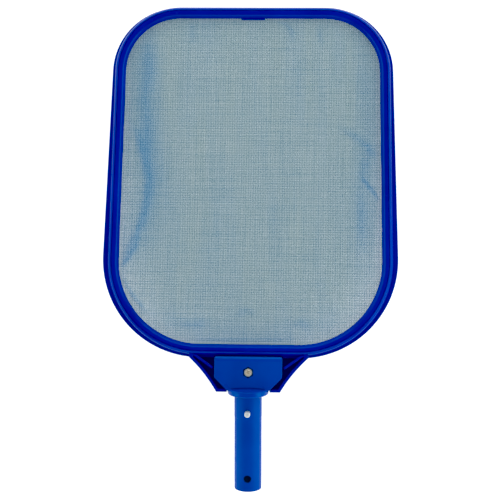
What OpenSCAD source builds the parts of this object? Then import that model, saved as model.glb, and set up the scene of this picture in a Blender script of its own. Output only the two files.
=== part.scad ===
// Flat leaf skimmer net for a pool or spa, lying on a floor with its front face up.
// Millimetres. +Z up, +Y towards the scoop edge, +X to the right when seen from the front.
// The origin is on the floor under the middle of the whole skimmer.
// The head is drawn flat in its own plane (y = 0 at the outer edge of the rail next to the handle,
// z = 0 at the back of the rim) and then tipped so that it rests on the scoop edge and the handle's end.

/* [Rim] */
// Outer length of the rim, from the handle rail to the scoop edge
frame_length = 370; // [340:1:400]
// Half of the opening's width beside the handle rail
opening_half_low = 138; // [128:0.5:145]
// Half of the opening's width beside the scoop edge
opening_half_top = 134.8; // [126:0.5:140]
// Inner radius of the two corners at the scoop edge
corner_r_top = 57.9; // [45:0.1:65]
// Inner radius of the two corners at the handle rail
corner_r_low = 87; // [75:0.5:92]
// Width of the rim without its outer flange
rim_width = 11.8; // [11.4:0.1:12.4]
// Height of the rim from its back to its crest
rim_height = 10; // [9.8:0.1:11]
// Height of the outer flange
flange_height = 4.4; // [3.8:0.1:4.5]

/* [Net and retaining ring] */
// Thickness of the mesh fabric
mesh_thickness = 0.3; // [0.2:0.05:0.3]
// Radius of the cord sewn into the net's hem
hem_cord_r = 0.83; // [0.6:0.01:0.84]
// Width of the pull tab on the retaining ring
tab_width = 25; // [15:1:40]
// How far the pull tab stands into the opening
tab_reach = 1.6; // [1:0.1:3]

/* [Bracket] */
// Half of the bracket's width where it meets the rim
bracket_half_top = 61.8; // [58:0.1:64]
// Half of the bracket's width at its feet
bracket_half_foot = 33; // [31:0.1:35]
// How far the feet are from the rim's rail
bracket_reach = 37.6; // [37:0.1:39]
// Height of the bracket's walls above the back of the rim
bracket_wall_top = 8.6; // [7:0.1:9.5]
// How far the bracket is deeper than the rim at the back
bracket_drop = 4; // [3.4:0.1:5]
// Thickness of the bracket's floor
bracket_floor = 1.8; // [1.5:0.1:2.2]

/* [Handle] */
// Angle that the handle is bent back from the plane of the net
bend = 15; // [10:0.5:18]
// Half of the hub plate's width
plate_half = 35.2; // [33:0.1:36]
// Height of the hub plate's front face above the back of the rim
plate_top = 10.5; // [10.2:0.1:12]
// Radius of the collar disc
collar_r = 21.2; // [18:0.1:21.6]
// Thickness of the collar disc
collar_t = 6.1; // [4:0.1:8]
// Outer radius of the handle tube beside the collar
tube_r = 14.2; // [13.8:0.05:14.6]
// How much slimmer the tube's radius is on the stretch that the pole slides over
tube_step = 0.15; // [0:0.05:0.3]
// Wall thickness of the handle tube
tube_wall = 3; // [2.8:0.1:3.1]
// Length of the handle from the collar's front to its free end
tube_end = 108.4; // [104:0.2:125]
// Distance of the two snap buttons from the collar's front
button_at = 23.7; // [22:0.1:30]
// Distance of the two lock pin holes from the collar's front
pin_at = 94.5; // [88:0.1:97]
// Radius of the lock pin holes
pin_hole_r = 4; // [3:0.1:4.5]

/* [Snap clip] */
// Radius of a snap button
button_r = 2.95; // [2.5:0.05:3.2]
// How far a button stands out of the tube
button_out = 6.6; // [4:0.1:7]
// Width of the spring strip
strip_w = 9; // [7:0.1:9.2]
// Thickness of the spring strip
strip_t = 0.8; // [0.6:0.05:0.9]

/* [Hub screw] */
// Distance of the screw from the rim's rail
screw_at = 17.5; // [16:0.1:19]
// Radius of the screw's shank
screw_r = 2.4; // [2:0.05:2.5]
// Radius of the screw's pan head
screw_head_r = 4.7; // [4.2:0.05:4.8]
// Across flats of the hexagonal pocket that the head sits in
hex_pocket_af = 9.9; // [9.7:0.05:10.2]
// Across flats of the nut
nut_af = 9.5; // [9:0.05:9.6]

/* [Hidden] */
$fn = 96;
blue = [0.02, 0.13, 0.62];
blue_b = [0.02, 0.20, 0.66];
grey_mesh = [0.48, 0.58, 0.62];
steel = [0.74, 0.73, 0.70];

// Corner centres: top pair and low pair, on the inner edge of the rim (u = 0)
ctx = opening_half_top - corner_r_top;
cty = frame_length - rim_width - corner_r_top;
clx = opening_half_low - corner_r_low;
cly = rim_width + corner_r_low;
hyp = sqrt(pow(ctx - clx, 2) + pow(cty - cly, 2));
// Angle of the side rails' outward normal above the X axis
side_a = asin((corner_r_low - corner_r_top) / hyp) - atan2(ctx - clx, cty - cly);

// Where the parts of the rim's section start, measured outwards from the opening's edge
ledge_u = 1.2;
groove_u = 4.4;
wall_u = 7.5;
ledge_z = 3;
groove_z = 0.8;

// Handle axis: the point where it meets the collar's front face
axis_z = 3.35;
axis_y = -34.78 + (10.5 - axis_z) * tan(15);
// Tipping of the head: the free end's rounded edge and the scoop edge touch the floor
end_round = 2;
spigot_r = tube_r - tube_step;
end_y = axis_y - cos(bend) * (tube_end - end_round) + sin(bend) * (spigot_r - end_round);
end_z = axis_z - sin(bend) * (tube_end - end_round) - cos(bend) * (spigot_r - end_round);
end_dist = sqrt(pow(frame_length - end_y, 2) + end_z * end_z);
lie = atan2(-end_z, frame_length - end_y) + asin(end_round / end_dist);
lift = frame_length * sin(lie);
// Furthest points along Y once tipped
far_y = frame_length * cos(lie) + 4.6 * sin(lie);
top_y = axis_y - cos(bend) * (tube_end - end_round) - sin(bend) * (spigot_r - end_round);
top_z = axis_z - sin(bend) * (tube_end - end_round) + cos(bend) * (spigot_r - end_round);
near_y = top_y * cos(lie) + top_z * sin(lie) - end_round;
shift = -(far_y + near_y) / 2;

// Snap clip's strip, in the handle's own frame: distance along the axis, distance from the axis
step_at = 31;
bend_at = 72;
root_r = 4.4;
leg_slope = 0.098;
foot_r = 3.6;
foot_base = root_r + (bend_at - button_at + foot_r) * leg_slope + strip_t / 2 * sqrt(1 + leg_slope * leg_slope) + 0.04;
leg_tip = 18.5;

module lying() { translate([0, shift, lift]) rotate([-lie, 0, 0]) children(); }
module on_handle() { lying() translate([0, axis_y, axis_z]) rotate([90 + bend, 0, 0]) children(); }

// How far straight pieces sit inside the corner pieces that they join, and how far they reach in
join = 0.02;
reach = 0.5;

// A section's points moved inwards by e (points in anticlockwise order)
function unit(v) = v / norm(v);
function left(v) = [-v[1], v[0]];
function inset(p, e) = [for (i = [0:len(p) - 1]) let (
  a = left(unit(p[i] - p[(i + len(p) - 1) % len(p)])), b = left(unit(p[(i + 1) % len(p)] - p[i]))) p[i] + (a + b) * e / (1 + a * b)];

// The outline's side rails lean by this much when two circles at the top and two at the bottom carry it
function lean(tx, ty, tr, lx, ly, lr) = asin((lr - tr) / norm([tx - lx, ty - ly])) - atan2(tx - lx, ty - ly);

// A slice of a ring from r0 to r1, h tall
module slice(cx, cy, r0, r1, h, from, to) {
  translate([cx, cy, 0]) rotate([0, 0, from]) rotate_extrude(angle = to - from) translate([r0, 0]) square([r1 - r0, h]);
}
// Four slices round the corners of an outline
module corners(tx, ty, tr0, tr, lx, ly, lr0, lr, h) {
  a = lean(tx, ty, tr, lx, ly, lr);
  slice(tx, ty, tr0, tr, h, a, 90);
  slice(-tx, ty, tr0, tr, h, 90, 180 - a);
  slice(-lx, ly, lr0, lr, h, 180 - a, 270);
  slice(lx, ly, lr0, lr, h, 270, 360 + a);
}
// The whole area inside an outline, h tall
module plate(tx, ty, tr, lx, ly, lr, h) {
  a = lean(tx, ty, tr, lx, ly, lr);
  up = [tx + (tr - join) * cos(a) - reach * sin(a), ty + (tr - join) * sin(a) + reach * cos(a)];
  low = [lx + (lr - join) * cos(a) + reach * sin(a), ly + (lr - join) * sin(a) - reach * cos(a)];
  corners(tx, ty, 0, tr, lx, ly, 0, lr, h);
  linear_extrude(height = h) polygon([
    up, [tx + reach, ty + tr - join], [-tx - reach, ty + tr - join], [-up[0], up[1]],
    [-low[0], low[1]], [-lx - reach, ly - lr + join], [lx + reach, ly - lr + join], low]);
}

// Sweeps a section (x outwards from the opening's edge, y up) round the rim
module arc_run(cx, cy, r, from, to) {
  translate([cx, cy, 0]) rotate([0, 0, from]) rotate_extrude(angle = to - from) translate([r, 0]) children();
}
module flat_run(px, py, normal, length) {
  translate([px, py, 0]) rotate([0, 0, normal]) rotate([90, 0, 0]) translate([0, 0, -length - reach]) linear_extrude(height = length + 2 * reach) children();
}
// The first child is the corners' section, the second the straight rails'
module round_the_rim() {
  side_l = sqrt(hyp * hyp - pow(corner_r_low - corner_r_top, 2));
  arc_run(ctx, cty, corner_r_top, side_a, 90) children(0);
  flat_run(ctx, cty + corner_r_top, 90, 2 * ctx) children(1);
  arc_run(-ctx, cty, corner_r_top, 90, 180 - side_a) children(0);
  flat_run(-ctx - corner_r_top * cos(side_a), cty + corner_r_top * sin(side_a), 180 - side_a, side_l) children(1);
  arc_run(-clx, cly, corner_r_low, 180 - side_a, 270) children(0);
  flat_run(-clx, cly - corner_r_low, 270, 2 * clx) children(1);
  arc_run(clx, cly, corner_r_low, 270, 360 + side_a) children(0);
  flat_run(clx + corner_r_low * cos(side_a), cly + corner_r_low * sin(side_a), side_a, side_l) children(1);
}

// Bracket outline with its two hollow-curved flanks
flank_r = 156;
module flank(m, r) { translate([m * (bracket_half_top + 105.5), -117]) circle(r = r, $fn = 180); }
module bracket_outline() {
  difference() {
    polygon([
      [bracket_half_top, 3], [bracket_half_top, -2], [bracket_half_foot, -bracket_reach], [-bracket_half_foot, -bracket_reach],
      [-bracket_half_top, -2], [-bracket_half_top, 3]]);
    for (m = [-1, 1]) flank(m, flank_r);
  }
}
module hexagon(af) { circle(r = af / sqrt(3), $fn = 6); }

// Outer flange, widest beside the handle rail and running out at the scoop edge
module flange() {
  fx = ctx + 2.4; fy = cty - 0.25; fr = corner_r_top + rim_width - 0.2;
  gx = clx + 0.7; gy = cly + 2; gr = corner_r_low + rim_width + 4.2;
  top_w = 3; low_w = 5.9;
  a = lean(fx, fy, fr, gx, gy, gr);
  corners(fx, fy, fr - top_w, fr, gx, gy, gr - low_w, gr, flange_height);
  translate([0, 0, join]) linear_extrude(height = flange_height - 2 * join) {
    for (m = [-1, 1]) polygon([
      [m * (fx + (fr - join) * cos(a) - reach * sin(a)), fy + (fr - join) * sin(a) + reach * cos(a)],
      [m * (fx + (fr - top_w + join) * cos(a) - reach * sin(a)), fy + (fr - top_w + join) * sin(a) + reach * cos(a)],
      [m * (gx + (gr - low_w + join) * cos(a) + reach * sin(a)), gy + (gr - low_w + join) * sin(a) - reach * cos(a)],
      [m * (gx + (gr - join) * cos(a) + reach * sin(a)), gy + (gr - join) * sin(a) - reach * cos(a)]]);
    translate([-gx - reach, gy - gr + join]) square([2 * (gx + reach), low_w - 2 * join]);
  }
}

// Rim moulding: ledge, hem groove, outer wall, outer flange and the bracket behind the hub
module net_frame() {
  notch = collar_r + 1.1;
  section = [
    [ledge_u, 0], [rim_width, 0], [rim_width, 4.6], [rim_width - 0.6, 6.4], [rim_width - 1.5, 8], [9.2, rim_height - 0.7],
    [8.5, rim_height - 0.2], [7.9, rim_height], [wall_u, rim_height - 0.1],
    [wall_u, groove_z], [groove_u, groove_z], [groove_u, ledge_z], [ledge_u, ledge_z]];
  color(blue) lying() difference() {
    union() {
      round_the_rim() {
        polygon(section);
        polygon(inset(section, join));
      }
      flange();
      // bracket floor
      translate([0, 0, -bracket_drop]) linear_extrude(height = bracket_floor) bracket_outline();
      // bracket flank walls
      translate([0, 0, -bracket_drop]) linear_extrude(height = bracket_drop + bracket_wall_top) intersection() {
        bracket_outline();
        union() for (m = [-1, 1]) flank(m, flank_r + 3.1);
      }
      // bracket end wall, which the notch below cuts into two feet
      translate([0, 0, -bracket_drop]) linear_extrude(height = bracket_drop + bracket_wall_top) intersection() {
        bracket_outline();
        translate([-40, -bracket_reach]) square([80, 3]);
      }
      // wall under the handle rail that closes the bracket
      translate([-bracket_half_top, 0.4, -bracket_drop]) cube([2 * bracket_half_top, 2.6, bracket_drop + 2]);
      // slanting ribs between the rail's corners and the hub
      for (m = [-1, 1]) translate([0, 0, -bracket_drop]) linear_extrude(height = bracket_drop + bracket_wall_top)
        polygon([[m * 59.3, 1], [m * 37.6, -14.2], [m * 36, -12], [m * 54.6, 1]]);
      // boss that holds the nut
      translate([0, -screw_at, -bracket_drop]) cylinder(r = 8.6, h = bracket_drop + 1.6);
    }
    // gap in the flange beside the hub plate, and the feet's corners cut back beside its chamfers
    translate([-plate_half - 0.4, -4, -bracket_drop + bracket_floor]) cube([2 * plate_half + 0.8, 3.6, 20]);
    for (m = [-1, 1]) translate([0, 0, -bracket_drop + bracket_floor]) linear_extrude(height = 20)
      polygon([[m * 20, -38.67], [m * 26, -32.67], [m * 20, -32.67]]);
    // gap for the collar and the neck
    translate([-notch, -bracket_reach - 1, -bracket_drop - 1]) cube([2 * notch, bracket_reach + 1 - 30.2, 20]);
    translate([0, -screw_at, -bracket_drop - 1]) linear_extrude(height = bracket_drop + 0.4) hexagon(nut_af + 0.2);
    translate([0, -screw_at, -bracket_drop - 1]) cylinder(r = screw_r + 0.3, h = 10);
  }
}

// Ring that snaps in from the front and holds the net's hem down in the groove
module retaining_ring() {
  top = rim_height - 0.4;
  section = [
    [0, ledge_z + mesh_thickness], [5, ledge_z + mesh_thickness], [5, 2.55], [6.9, 2.55], [6.9, ledge_z + mesh_thickness], [7.3, ledge_z + mesh_thickness],
    [7.3, top - 0.1], [6.9, top], [5.8, top - 0.05], [4.8, top - 0.3], [3.8, 8.9], [2.8, 8.25], [1.9, 7.4], [1.1, 6.3], [0.4, 5], [0, 3.9]];
  color(blue) lying() {
    round_the_rim() {
      polygon(section);
      polygon(inset(section, join));
    }
    translate([-tab_width / 2, cty + corner_r_top - tab_reach, ledge_z + mesh_thickness]) cube([tab_width, tab_reach + 0.6, 1.5]);
  }
}

// Mesh fabric, stretched over the ledge
module net_mesh() {
  u = groove_u + 0.35;
  color(grey_mesh) lying() translate([0, 0, ledge_z]) plate(ctx, cty, corner_r_top + u, clx, cly, corner_r_low + u, mesh_thickness);
}

// The fabric's hem, turned down into the groove
module net_hem() {
  section = [[groove_u + 0.1, 1], [groove_u + 0.35, 1], [groove_u + 0.35, ledge_z], [groove_u + 0.1, ledge_z]];
  color(grey_mesh) lying() round_the_rim() {
    polygon(section);
    polygon(inset(section, join));
  }
}

// Cord in the net's hem
module hem_cord() {
  color(grey_mesh) lying() round_the_rim() {
    translate([5.85, groove_z + 0.04 + hem_cord_r]) circle(r = hem_cord_r, $fn = 24);
    translate([5.85, groove_z + 0.04 + hem_cord_r]) circle(r = hem_cord_r - join, $fn = 24);
  }
}

// Handle moulding, first part: hub plate and collar
module handle_hub() {
  plate_low = -bracket_drop + bracket_floor;
  color(blue_b) difference() {
    union() {
      lying() difference() {
        translate([0, 0, plate_low]) linear_extrude(height = plate_top - plate_low) polygon([
          [-plate_half + 1.2, -0.9], [plate_half - 1.2, -0.9], [plate_half, -2.1], [plate_half, -22.9], [21.9, -36.2],
          [-21.9, -36.2], [-plate_half, -22.9], [-plate_half, -2.1]]);
        // hollow under the plate, with the screw's boss and two ribs left standing
        translate([0, 0, plate_low - 1]) linear_extrude(height = plate_top - plate_low + 1 - 3) difference() {
          polygon([[-plate_half + 2.6, -3.4], [plate_half - 2.6, -3.4], [plate_half - 2.6, -21.7], [20, -29.5], [-20, -29.5], [-plate_half + 2.6, -21.7]]);
          for (m = [-1, 1]) translate([m * 14.5 - 1.2, -30]) square([2.4, 28]);
          translate([0, -screw_at]) circle(r = 8.6);
        }
        // room for the bracket's boss under the screw's boss
        translate([0, -screw_at, plate_low - 1]) cylinder(r = 8.9, h = 1 + 1.65 - plate_low);
      }
      on_handle() cylinder(r = collar_r, h = collar_t);
    }
    // nothing of the plate reaches past the collar's rear face
    on_handle() translate([-40, -20, collar_t]) cube([80, 60, 20]);
    // hexagonal pocket for the screw's head, and its hole
    lying() translate([0, -screw_at, plate_top - 4.5]) linear_extrude(height = 6) rotate(30) hexagon(hex_pocket_af);
    lying() translate([0, -screw_at, -6]) cylinder(r = screw_r + 0.3, h = 20);
  }
}

// Handle moulding, second part: hollow tube, stepped down where the pole slides over it, with a rounded free end
module handle_tube() {
  inner = tube_r - tube_wall;
  color(blue_b) on_handle() difference() {
    rotate_extrude() difference() {
      union() {
        polygon([[0, collar_t], [tube_r, collar_t], [tube_r, step_at - 1.5], [spigot_r, step_at], [spigot_r, tube_end - end_round], [0, tube_end - end_round]]);
        translate([0, collar_t]) square([spigot_r - end_round, tube_end - collar_t]);
        translate([spigot_r - end_round, tube_end - end_round]) circle(r = end_round, $fn = 48);
      }
      translate([-1, 12]) square([1 + inner, tube_end]);
      translate([0, tube_end - 0.8]) polygon([[inner - 1, 0], [inner, 0], [inner + 0.9, 0.9], [inner - 1, 0.9]]);
    }
    // button holes and lock pin holes through both walls
    translate([0, 0, button_at]) rotate([90, 0, 0]) cylinder(r = button_r + 0.15, h = 60, center = true);
    translate([0, 0, pin_at]) rotate([90, 0, 0]) cylinder(r = pin_hole_r, h = 60, center = true);
  }
}

// Pan head screw with a cross recess
module hub_screw() {
  seat = plate_top - 4.5;
  color(steel) lying() translate([0, -screw_at, seat]) difference() {
    union() {
      rotate_extrude() difference() {
        union() {
          square([screw_head_r, 1.9]);
          square([screw_head_r - 1.5, 3.2]);
          translate([screw_head_r - 1.5, 1.7]) circle(r = 1.5, $fn = 48);
        }
        translate([-10, -5]) square([10, 20]);
        translate([0, -2]) square([10, 2]);
      }
      translate([0, 0, -12]) cylinder(r = screw_r, h = 12.5);
    }
    for (a = [0, 90]) rotate([0, 0, a]) translate([-2.6, -0.45, 1.5]) cube([5.2, 0.9, 3]);
    translate([0, 0, 1.3]) cylinder(r1 = 0.7, r2 = 1.6, h = 3);
  }
}

module hub_nut() {
  color(steel) lying() translate([0, -screw_at, -bracket_drop + 0.05]) difference() {
    linear_extrude(height = bracket_drop - 0.65) hexagon(nut_af);
    translate([0, 0, -1]) cylinder(r = screw_r + 0.05, h = 8);
  }
}

// Half-round bend of the snap clip, across the tube
module clip_spring_bend() {
  color(steel) on_handle() translate([-strip_w / 2, 0, bend_at]) rotate([90, 0, 90]) linear_extrude(height = strip_w) difference() {
    circle(r = root_r + strip_t / 2);
    circle(r = root_r - strip_t / 2);
    translate([-20, -40]) square([40, 40]);
  }
}

// One leg of the snap clip, with the hole for its button's rivet
module leg(m) {
  d = strip_t / 2;
  reach = bend_at - leg_tip;
  tip_r = root_r + reach * leg_slope;
  color(steel) on_handle() difference() {
    translate([-strip_w / 2, 0, 0]) rotate([90, 0, 90]) linear_extrude(height = strip_w) polygon([
      [m * (root_r - d), bend_at], [m * (root_r + d), bend_at], [m * (tip_r + d), leg_tip], [m * (tip_r - d), leg_tip]]);
    translate([0, 0, button_at]) rotate([m > 0 ? -90 : 90, 0, 0]) cylinder(r = 1.5, h = 14);
  }
}
module clip_front_leg() { leg(1); }
module clip_rear_leg() { leg(-1); }

// One snap button: domed pin, foot inside the tube and the rivet that holds it on its leg
module button(m) {
  tip = tube_r + button_out;
  under = root_r + (bend_at - button_at) * leg_slope - strip_t / 2 - 0.28;
  color(steel) on_handle() translate([0, 0, button_at]) rotate([m > 0 ? -90 : 90, 0, 0]) {
    rotate_extrude() difference() {
      union() {
        translate([0, foot_base]) square([foot_r, 0.5]);
        translate([0, foot_base]) square([button_r, tip - 1.3 - foot_base]);
        translate([0, foot_base]) square([button_r - 1.3, tip - foot_base]);
        translate([button_r - 1.3, tip - 1.3]) circle(r = 1.3, $fn = 48);
      }
      translate([-10, 0]) square([10, 40]);
    }
    translate([0, 0, under - 0.1]) cylinder(r = 1.3, h = foot_base - under + 0.2);
    translate([0, 0, under - 0.5]) cylinder(r = 2.1, h = 0.5);
  }
}
module clip_front_button() { button(1); }
module clip_rear_button() { button(-1); }

net_frame();
retaining_ring();
net_mesh();
net_hem();
hem_cord();
handle_hub();
handle_tube();
hub_screw();
hub_nut();
clip_spring_bend();
clip_front_leg();
clip_rear_leg();
clip_front_button();
clip_rear_button();
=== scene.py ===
import math

import bmesh
import bpy
import numpy as np
from mathutils import Matrix, Vector


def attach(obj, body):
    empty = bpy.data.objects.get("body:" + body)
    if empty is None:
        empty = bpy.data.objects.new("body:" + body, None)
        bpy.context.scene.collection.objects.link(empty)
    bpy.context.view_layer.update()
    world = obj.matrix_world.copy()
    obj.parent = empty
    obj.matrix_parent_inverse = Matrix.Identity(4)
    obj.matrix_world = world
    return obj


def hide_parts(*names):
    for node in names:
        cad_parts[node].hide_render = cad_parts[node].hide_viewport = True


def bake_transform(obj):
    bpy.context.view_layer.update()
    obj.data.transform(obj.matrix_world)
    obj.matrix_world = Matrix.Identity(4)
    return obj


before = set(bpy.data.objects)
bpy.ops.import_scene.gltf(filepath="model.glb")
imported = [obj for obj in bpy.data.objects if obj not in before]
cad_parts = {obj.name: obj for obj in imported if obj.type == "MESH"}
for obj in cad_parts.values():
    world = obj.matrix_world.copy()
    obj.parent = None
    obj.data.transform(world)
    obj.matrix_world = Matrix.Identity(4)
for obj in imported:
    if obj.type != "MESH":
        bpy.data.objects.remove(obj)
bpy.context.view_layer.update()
scene = bpy.context.scene
MM = 0.001

# ------------------------------------------------------------------ dimensions (mm), as in the CAD
FRAME_LENGTH, HALF_LOW, HALF_TOP = 370.0, 138.0, 134.8
R_TOP, R_LOW, RIM_W, RIM_H, FLANGE_H = 57.9, 87.0, 11.8, 10.0, 4.4
REACH, DROP, FLOOR_T, WALL_TOP = 37.6, 4.0, 1.8, 8.6
BEND, PLATE_HALF, PLATE_TOP = 15.0, 35.2, 10.5
COLLAR_R, COLLAR_T, TUBE_R, SPIGOT_R, TUBE_IN, TUBE_END = 21.2, 6.1, 14.2, 14.05, 11.2, 108.4
BUTTON_AT, PIN_AT, BUTTON_R, PIN_R = 23.7, 94.5, 2.95, 4.0
SCREW_AT, SCREW_R, HEAD_R = 17.5, 2.4, 4.7
STRIP_W, STRIP_T, BEND_AT, ROOT_R, SLOPE, LEG_TIP = 9.0, 0.8, 72.0, 4.4, 0.098, 18.5
CTX, CTY = HALF_TOP - R_TOP, FRAME_LENGTH - RIM_W - R_TOP
CLX, CLY = HALF_LOW - R_LOW, RIM_W + R_LOW
AXIS_Z = 3.35
AXIS_Y = -34.78 + (10.5 - AXIS_Z) * math.tan(math.radians(15))
_b = math.radians(BEND)
END_Y = AXIS_Y - math.cos(_b) * (TUBE_END - 2) + math.sin(_b) * (SPIGOT_R - 2)
END_Z = AXIS_Z - math.sin(_b) * (TUBE_END - 2) - math.cos(_b) * (SPIGOT_R - 2)
LIE = math.atan2(-END_Z, FRAME_LENGTH - END_Y) + math.asin(2 / math.hypot(FRAME_LENGTH - END_Y, END_Z))
LIFT = FRAME_LENGTH * math.sin(LIE)
FAR_Y = FRAME_LENGTH * math.cos(LIE) + 4.6 * math.sin(LIE)
TOP_Y = AXIS_Y - math.cos(_b) * (TUBE_END - 2) - math.sin(_b) * (SPIGOT_R - 2)
TOP_Z = AXIS_Z - math.sin(_b) * (TUBE_END - 2) + math.cos(_b) * (SPIGOT_R - 2)
NEAR_Y = TOP_Y * math.cos(LIE) + TOP_Z * math.sin(LIE) - 2
SHIFT = -(FAR_Y + NEAR_Y) / 2
HEAD = Matrix.Scale(MM, 4) @ Matrix.Translation((0, SHIFT, LIFT)) @ Matrix.Rotation(-LIE, 4, "X")
HANDLE = HEAD @ Matrix.Translation((0, AXIS_Y, AXIS_Z)) @ Matrix.Rotation(math.radians(90) + _b, 4, "X")


# ------------------------------------------------------------------ mesh tools
def fillet(points, radii, seg=4):
    """Rounds the corners of a closed 2-D outline."""
    out, n = [], len(points)
    if not hasattr(radii, "__len__"):
        radii = [radii] * n
    for i in range(n):
        p, a, c = Vector(points[i]), Vector(points[i - 1]), Vector(points[(i + 1) % n])
        r = radii[i]
        if r <= 0:
            out.append((p.x, p.y))
            continue
        u, v = (a - p).normalized(), (c - p).normalized()
        ang = math.acos(max(-1, min(1, u.dot(v))))
        if ang > math.pi - 0.02:
            out.append((p.x, p.y))
            continue
        t = min(r / math.tan(ang / 2), 0.48 * (a - p).length, 0.48 * (c - p).length)
        r = t * math.tan(ang / 2)
        centre = p + (u + v).normalized() * (r / math.sin(ang / 2))
        s, e = p + u * t - centre, p + v * t - centre
        turn = math.atan2(s.x * e.y - s.y * e.x, s.dot(e))
        for k in range(seg + 1):
            w = turn * k / seg
            out.append((centre.x + s.x * math.cos(w) - s.y * math.sin(w), centre.y + s.x * math.sin(w) + s.y * math.cos(w)))
    return out


def make(name, verts, faces, matrix=None):
    mesh = bpy.data.meshes.new(name)
    mesh.from_pydata([tuple(v) for v in verts], [], faces)
    obj = bpy.data.objects.new(name, mesh)
    scene.collection.objects.link(obj)
    bm = bmesh.new()
    bm.from_mesh(mesh)
    bmesh.ops.remove_doubles(bm, verts=bm.verts, dist=1e-5)
    bmesh.ops.recalc_face_normals(bm, faces=bm.faces)
    bm.to_mesh(mesh)
    bm.free()
    if matrix is not None:
        mesh.transform(matrix)
    return obj


def loops_mesh(name, rings, closed_path, cap=False, matrix=None):
    """Skins a list of rings (each a closed list of points)."""
    n, m = len(rings), len(rings[0])
    verts = [p for ring in rings for p in ring]
    faces = []
    for i in range(n if closed_path else n - 1):
        a, b = i * m, ((i + 1) % n) * m
        for j in range(m):
            k = (j + 1) % m
            faces.append((a + j, a + k, b + k, b + j))
    if cap:
        faces.append(tuple(range(m))[::-1])
        faces.append(tuple((n - 1) * m + j for j in range(m)))
    return make(name, verts, faces, matrix)


def lathe(name, profile, seg=64, matrix=None):
    """Turns a closed profile of (r, z) about z. Points with r 0 meet on the axis."""
    verts, faces, index = [], [], []
    for r, z in profile:
        if r < 1e-6:
            verts.append((0, 0, z))
            index.append([len(verts) - 1] * seg)
        else:
            first = len(verts)
            for k in range(seg):
                a = 2 * math.pi * k / seg
                verts.append((r * math.cos(a), r * math.sin(a), z))
            index.append(list(range(first, first + seg)))
    n = len(profile)
    for i in range(n):
        a, b = index[i], index[(i + 1) % n]
        for k in range(seg):
            q = [a[k], a[(k + 1) % seg], b[(k + 1) % seg], b[k]]
            q = [x for j, x in enumerate(q) if x != q[j - 1]]
            if len(set(q)) >= 3:
                faces.append(tuple(q))
    return make(name, verts, faces, matrix)


def prism(name, outline, z0, z1, top=0.0, bottom=0.0, seg=3, matrix=None):
    """Extrudes an outline, with rounded top and bottom edges."""
    bm = bmesh.new()
    lo = [bm.verts.new((x, y, z0)) for x, y in outline]
    hi = [bm.verts.new((x, y, z1)) for x, y in outline]
    n = len(outline)
    f_lo, f_hi = bm.faces.new(lo[::-1]), bm.faces.new(hi)
    for i in range(n):
        bm.faces.new((lo[i], lo[(i + 1) % n], hi[(i + 1) % n], hi[i]))
    bmesh.ops.recalc_face_normals(bm, faces=bm.faces)
    if top > 0:
        bmesh.ops.bevel(bm, geom=list(f_hi.edges), offset=top, segments=seg, profile=0.5, affect="EDGES", clamp_overlap=True)
    if bottom > 0:
        low = [f for f in bm.faces if len(f.verts) == n and all(abs(v.co.z - z0) < 1e-6 for v in f.verts)]
        bmesh.ops.bevel(bm, geom=list(low[0].edges), offset=bottom, segments=seg, profile=0.5, affect="EDGES", clamp_overlap=True)
    mesh = bpy.data.meshes.new(name)
    bm.to_mesh(mesh)
    bm.free()
    obj = bpy.data.objects.new(name, mesh)
    scene.collection.objects.link(obj)
    if matrix is not None:
        mesh.transform(matrix)
    return obj


def boolean(target, cutter, operation):
    """Unites target with cutter, or cuts it, and removes the cutter."""
    m = target.modifiers.new("cut", "BOOLEAN")
    m.operation, m.solver, m.object = operation, "EXACT", cutter
    bpy.context.view_layer.update()
    new = bpy.data.meshes.new_from_object(target.evaluated_get(bpy.context.evaluated_depsgraph_get()))
    target.modifiers.clear()
    old = target.data
    target.data = new
    new.name = target.name
    bpy.data.meshes.remove(old)
    mesh = cutter.data
    bpy.data.objects.remove(cutter)
    bpy.data.meshes.remove(mesh)
    return target


def tidy(obj, angle=32.0, dist=2e-6):
    """Welds, dissolves slivers, shades smooth with sharp edges kept, and weights the normals by area."""
    bm = bmesh.new()
    bm.from_mesh(obj.data)
    bmesh.ops.remove_doubles(bm, verts=bm.verts, dist=dist)
    bmesh.ops.dissolve_degenerate(bm, edges=bm.edges, dist=dist)
    for f in bm.faces:
        f.smooth = True
    for e in bm.edges:
        e.smooth = not (len(e.link_faces) == 2 and e.calc_face_angle(0) > math.radians(angle))
    bm.to_mesh(obj.data)
    bm.free()
    w = obj.modifiers.new("normals", "WEIGHTED_NORMAL")
    w.keep_sharp, w.weight, w.mode = True, 50, "FACE_AREA"
    bpy.context.view_layer.update()
    new = bpy.data.meshes.new_from_object(obj.evaluated_get(bpy.context.evaluated_depsgraph_get()))
    obj.modifiers.clear()
    old = obj.data
    obj.data = new
    new.name = obj.name
    bpy.data.meshes.remove(old)
    open_edges = 0
    bm = bmesh.new()
    bm.from_mesh(new)
    open_edges = sum(1 for e in bm.edges if len(e.link_faces) != 2)
    bm.free()
    print("PIECE", obj.name, len(new.vertices), len(new.polygons), "open edges", open_edges)
    return obj


def give(obj, material, body="skimmer", nodes=()):
    obj.data.materials.clear()
    obj.data.materials.append(material)
    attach(obj, body)
    if nodes:
        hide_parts(*nodes)
    return obj


# ------------------------------------------------------------------ materials
def nodes_of(name):
    m = bpy.data.materials.new(name)
    m.use_nodes = True
    t = m.node_tree
    p = t.nodes["Principled BSDF"]
    return m, t, p


def node(t, kind, **values):
    n = t.nodes.new(kind)
    for k, v in values.items():
        if k in n.inputs:
            n.inputs[k].default_value = v
        else:
            setattr(n, k, v)
    return n


def math_node(t, op, a, b=None, clamp=False):
    n = t.nodes.new("ShaderNodeMath")
    n.operation, n.use_clamp = op, clamp
    for i, v in enumerate((a, b)):
        if v is None:
            continue
        if isinstance(v, (int, float)):
            n.inputs[i].default_value = v
        else:
            t.links.new(v, n.inputs[i])
    return n.outputs[0]


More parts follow.
